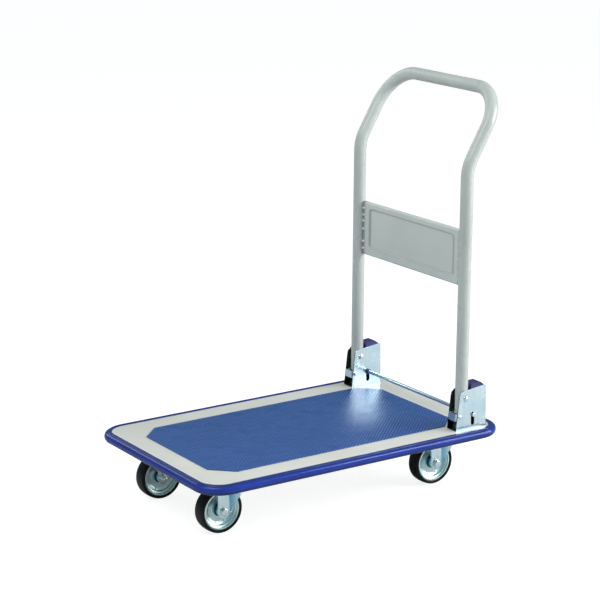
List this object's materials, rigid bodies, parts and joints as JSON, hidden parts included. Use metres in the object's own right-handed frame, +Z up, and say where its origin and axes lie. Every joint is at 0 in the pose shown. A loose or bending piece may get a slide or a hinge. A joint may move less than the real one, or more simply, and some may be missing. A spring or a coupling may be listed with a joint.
{
  "type": "folding platform cart",
  "caption": "Flat-bed hand cart with a mat-topped steel deck, corner brackets and a tubular push handle that folds flat, on fixed front and swivelling rear casters.",
  "frame": {"origin": "centre of the bounding box in plan, on the floor", "axes": "+X along the deck towards the handle end, +Y towards the left-hand long side when looking along +X, +Z up"},
  "size_m": [0.7628, 0.48, 0.8635],
  "materials": {
    "paint_ivory": "semi-gloss ivory paint",
    "paint_grey": "semi-gloss light grey-green paint",
    "zinc": "bright bluish zinc plate",
    "spring_steel": "plain oiled steel",
    "mat_vinyl": "fine-textured mid-blue vinyl, low sheen",
    "bumper_vinyl": "glossy deep blue extruded vinyl",
    "pad_rubber": "dark violet moulded rubber",
    "tyre_rubber": "black solid rubber",
    "plug_plastic": "black moulded plastic"
  },
  "bodies": {
    "cart": {"deck_pan": "paint_ivory", "edge_bumper": "bumper_vinyl", "deck_mat": "mat_vinyl", "front_rail": "paint_ivory", "rear_rail": "paint_ivory", "right_bracket": "zinc", "right_bracket_bolt_front": "zinc", "right_bracket_bolt_rear": "zinc", "right_strap": "zinc", "right_pivot_rivet": "zinc", "right_stop_rivet": "zinc", "right_stop_pad": "pad_rubber", "right_lock_spring": "spring_steel", "right_rear_top_plate": "zinc", "right_rear_ball_ring": "spring_steel", "right_rear_kingpin": "zinc", "right_front_fork": "zinc", "right_front_axle_bolt": "zinc", "right_front_axle_nut": "zinc", "right_front_axle_sleeve": "zinc", "left_bracket": "zinc", "left_bracket_bolt_front": "zinc", "left_bracket_bolt_rear": "zinc", "left_strap": "zinc", "left_pivot_rivet": "zinc", "left_stop_rivet": "zinc", "left_stop_pad": "pad_rubber", "left_lock_spring": "spring_steel", "left_rear_top_plate": "zinc", "left_rear_ball_ring": "spring_steel", "left_rear_kingpin": "zinc", "left_front_fork": "zinc", "left_front_axle_bolt": "zinc", "left_front_axle_nut": "zinc", "left_front_axle_sleeve": "zinc"},
    "handle": {"handle_tube": "paint_grey", "handle_panel": "paint_grey", "right_post_plug": "plug_plastic", "left_post_plug": "plug_plastic"},
    "lock": {"lock_rod": "zinc"},
    "right_rear_swivel": {"right_rear_fork": "zinc", "right_rear_axle_bolt": "zinc", "right_rear_axle_nut": "zinc", "right_rear_axle_sleeve": "zinc"},
    "right_front_wheel": {"right_front_rim": "zinc", "right_front_tyre": "tyre_rubber"},
    "right_rear_wheel": {"right_rear_rim": "zinc", "right_rear_tyre": "tyre_rubber"},
    "left_rear_swivel": {"left_rear_fork": "zinc", "left_rear_axle_bolt": "zinc", "left_rear_axle_nut": "zinc", "left_rear_axle_sleeve": "zinc"},
    "left_front_wheel": {"left_front_rim": "zinc", "left_front_tyre": "tyre_rubber"},
    "left_rear_wheel": {"left_rear_rim": "zinc", "left_rear_tyre": "tyre_rubber"}
  },
  "joints": [
    {"name": "handle_fold", "type": "hinge", "parent": "cart", "child": "handle", "pos_m": [0.26847, 0, 0.2053], "axis": [0, -1, 0], "range_deg": [0, 90]},
    {"name": "lock_press", "type": "slide", "parent": "cart", "child": "lock", "axis": [0, 0, -1], "range_m": [0, 0.018], "stiffness_N_per_m": 400, "springref_m": -0.02, "deforming": ["right_lock_spring", "left_lock_spring"]},
    {"name": "right_rear_swivel_turn", "type": "hinge", "parent": "cart", "child": "right_rear_swivel", "pos_m": [0.26857, -0.1233, 0.11], "axis": [0, 0, 1], "continuous": true},
    {"name": "right_front_wheel_roll", "type": "hinge", "parent": "cart", "child": "right_front_wheel", "pos_m": [-0.29143, -0.1233, 0.0485], "axis": [0, 1, 0], "continuous": true},
    {"name": "right_rear_wheel_roll", "type": "hinge", "parent": "right_rear_swivel", "child": "right_rear_wheel", "pos_m": [0.24137, -0.1233, 0.0485], "axis": [0, 1, 0], "continuous": true},
    {"name": "left_rear_swivel_turn", "type": "hinge", "parent": "cart", "child": "left_rear_swivel", "pos_m": [0.26857, 0.1233, 0.11], "axis": [0, 0, 1], "continuous": true},
    {"name": "left_front_wheel_roll", "type": "hinge", "parent": "cart", "child": "left_front_wheel", "pos_m": [-0.29143, 0.1233, 0.0485], "axis": [0, 1, 0], "continuous": true},
    {"name": "left_rear_wheel_roll", "type": "hinge", "parent": "left_rear_swivel", "child": "left_rear_wheel", "pos_m": [0.24137, 0.1233, 0.0485], "axis": [0, 1, 0], "continuous": true}
  ]
}
